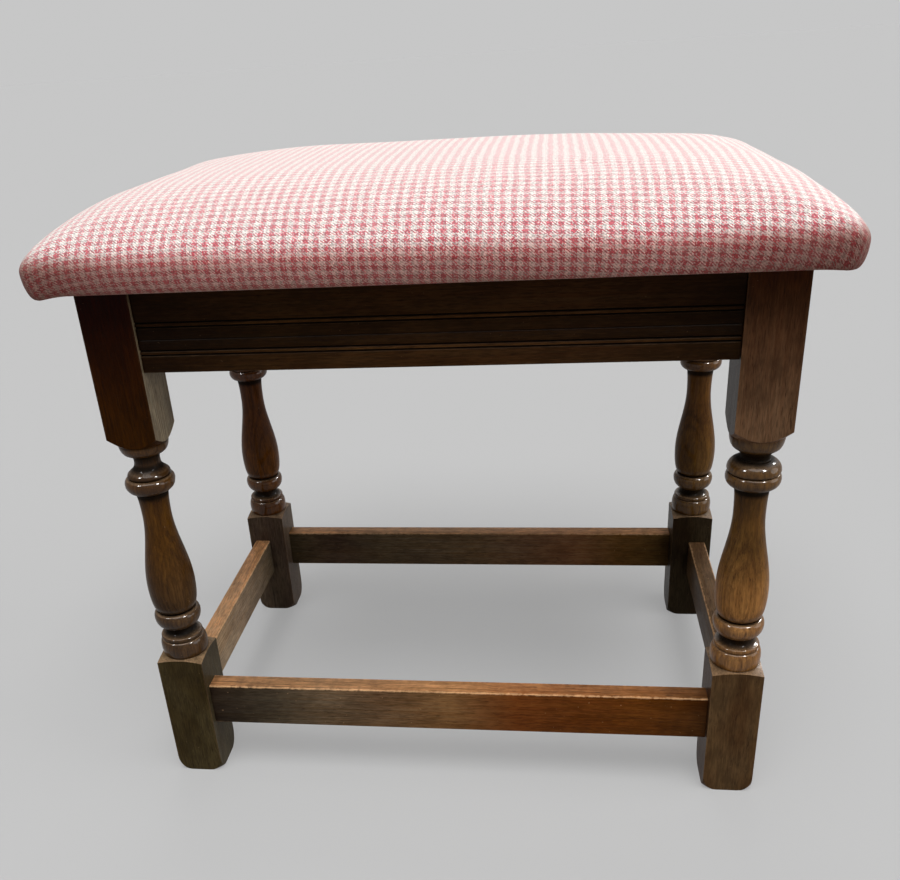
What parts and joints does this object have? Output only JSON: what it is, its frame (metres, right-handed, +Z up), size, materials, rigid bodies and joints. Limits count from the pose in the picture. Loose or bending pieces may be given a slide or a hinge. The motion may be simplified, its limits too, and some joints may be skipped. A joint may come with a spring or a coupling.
{
  "type": "upholstered footstool",
  "caption": "Low stool with turned legs, moulded rails, plain stretchers and a padded seat in a small woven check.",
  "frame": {"origin": "on the floor, under the middle of the seat", "axes": "+X along the length of the seat to the right as seen from the front, +Y to the rear, +Z up"},
  "size_m": [0.532, 0.34, 0.4835],
  "materials": {
    "dark_oak": "dark stained oak under a glossy varnish, worn lighter on the turnings",
    "worn_oak": "dark stained oak under varnish, rubbed orange brown along the top edges",
    "block_wood": "bare softwood",
    "plywood": "bare plywood",
    "foam": "open cell foam",
    "check_cloth": "woven wool in a small crimson and cream houndstooth check",
    "lining_cloth": "plain black lining cloth",
    "screw_steel": "dull steel",
    "tack_steel": "blued steel"
  },
  "bodies": {
    "root": {"leg_front_left": "dark_oak", "leg_front_right": "dark_oak", "leg_rear_right": "dark_oak", "leg_rear_left": "dark_oak", "rail_front": "dark_oak", "rail_right": "dark_oak", "rail_rear": "dark_oak", "rail_left": "dark_oak", "stretcher_front": "worn_oak", "stretcher_right": "worn_oak", "stretcher_rear": "worn_oak", "stretcher_left": "worn_oak", "corner_block_front_left": "block_wood", "corner_block_front_right": "block_wood", "corner_block_rear_right": "block_wood", "corner_block_rear_left": "block_wood", "block_screw_front_left_a": "screw_steel", "block_screw_front_left_b": "screw_steel", "block_screw_front_right_a": "screw_steel", "block_screw_front_right_b": "screw_steel", "block_screw_rear_right_a": "screw_steel", "block_screw_rear_right_b": "screw_steel", "block_screw_rear_left_a": "screw_steel", "block_screw_rear_left_b": "screw_steel", "seat_screw_front_left": "screw_steel", "seat_screw_front_right": "screw_steel", "seat_screw_rear_right": "screw_steel", "seat_screw_rear_left": "screw_steel", "seat_board": "plywood", "seat_pad": "foam", "seat_cover": "check_cloth", "bottom_lining": "lining_cloth", "hem_tack_1": "tack_steel", "hem_tack_2": "tack_steel", "hem_tack_3": "tack_steel", "hem_tack_4": "tack_steel", "hem_tack_5": "tack_steel", "hem_tack_6": "tack_steel", "hem_tack_7": "tack_steel", "hem_tack_8": "tack_steel", "hem_tack_9": "tack_steel", "hem_tack_10": "tack_steel", "hem_tack_11": "tack_steel", "hem_tack_12": "tack_steel", "hem_tack_13": "tack_steel", "hem_tack_14": "tack_steel", "hem_tack_15": "tack_steel", "hem_tack_16": "tack_steel", "lining_tack_1": "tack_steel", "lining_tack_2": "tack_steel", "lining_tack_3": "tack_steel", "lining_tack_4": "tack_steel", "lining_tack_5": "tack_steel", "lining_tack_6": "tack_steel", "lining_tack_7": "tack_steel", "lining_tack_8": "tack_steel"}
  },
  "joints": []
}
